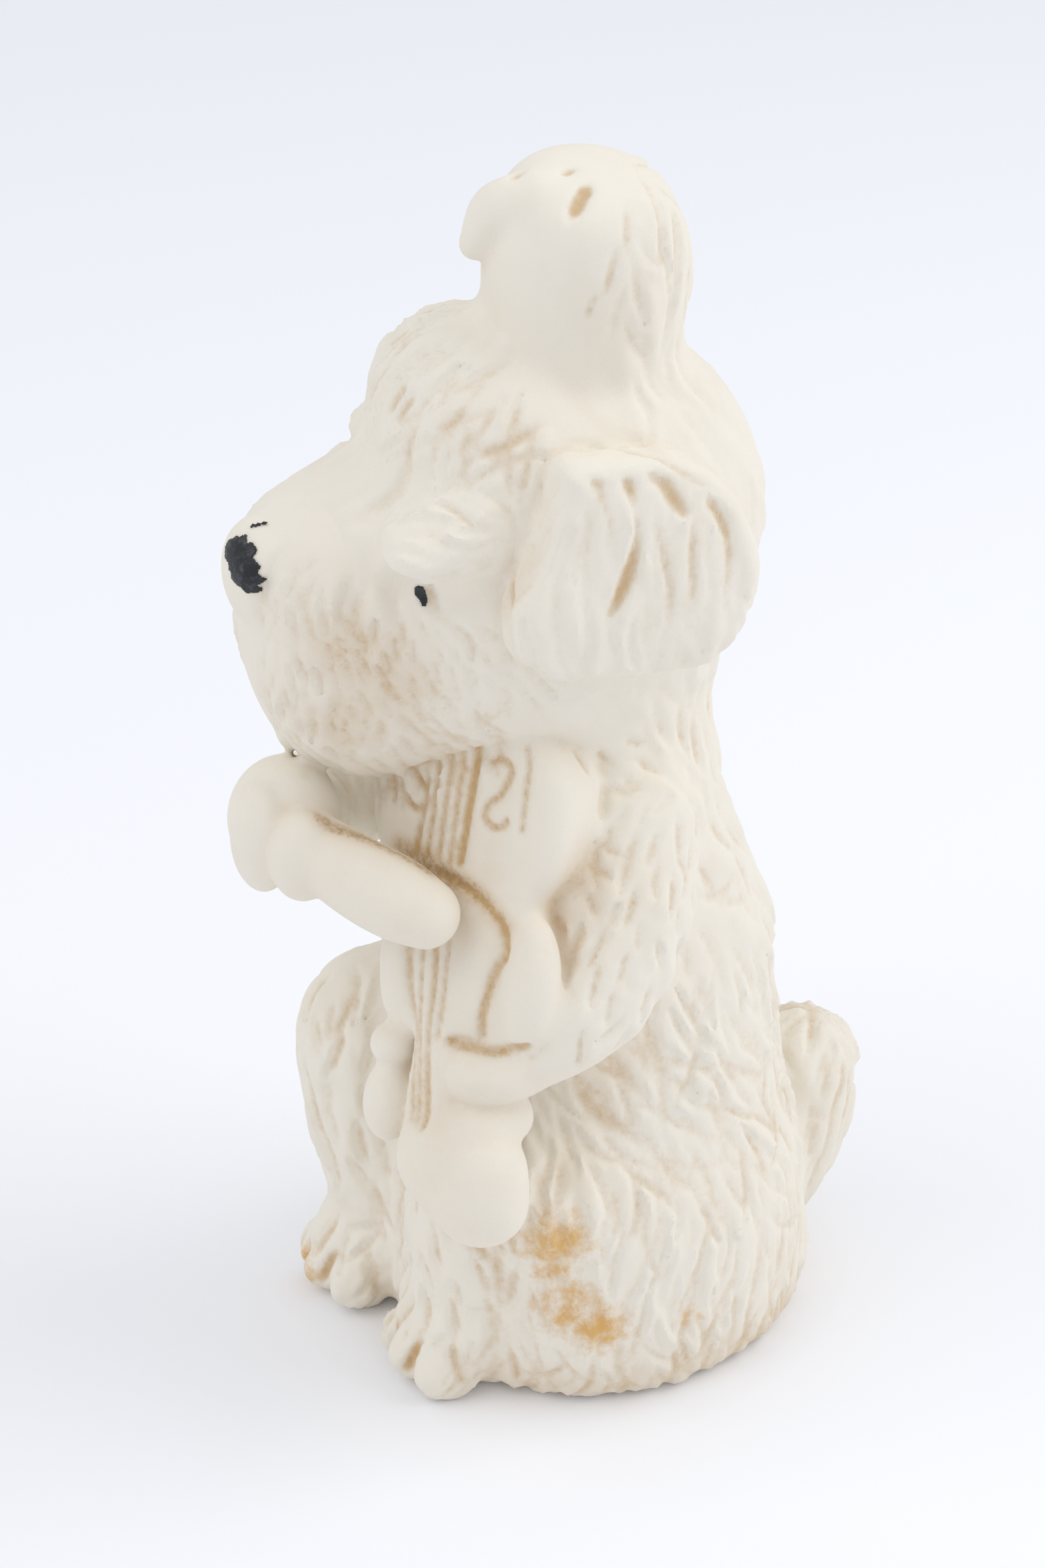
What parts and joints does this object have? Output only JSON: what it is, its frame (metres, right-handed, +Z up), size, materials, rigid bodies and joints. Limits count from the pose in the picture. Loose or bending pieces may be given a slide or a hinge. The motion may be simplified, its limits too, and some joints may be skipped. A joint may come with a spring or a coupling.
{
  "type": "ceramic dog figurine",
  "caption": "Small unglazed white bisque ornament of a shaggy terrier sitting upright and playing a fiddle, with a big rounded topknot and a black nose.",
  "frame": {"origin": "centre of the bounding box, on the surface the figurine sits on", "axes": "+Z up, the dog faces -Y, its left side (the fiddle side) is +X"},
  "size_m": [0.048, 0.0682, 0.1257],
  "materials": {
    "bisque": "matte unglazed, tan wash left in the carved lines",
    "black_enamel": "semi-gloss, chipped"
  },
  "bodies": {
    "root": {"torso": "bisque", "head": "bisque", "topknot": "bisque", "topknot_lock": "bisque", "left_ear": "bisque", "right_ear": "bisque", "left_brow": "bisque", "right_brow": "bisque", "left_eye": "black_enamel", "right_eye": "black_enamel", "nose": "black_enamel", "tail": "bisque", "left_leg": "bisque", "right_leg": "bisque", "left_foot": "bisque", "right_foot": "bisque", "fiddle_body": "bisque", "fiddle_neck": "bisque", "fiddle_scroll": "bisque", "bow": "bisque", "left_arm": "bisque", "right_arm": "bisque", "left_paw": "bisque", "right_paw": "bisque"}
  },
  "joints": []
}
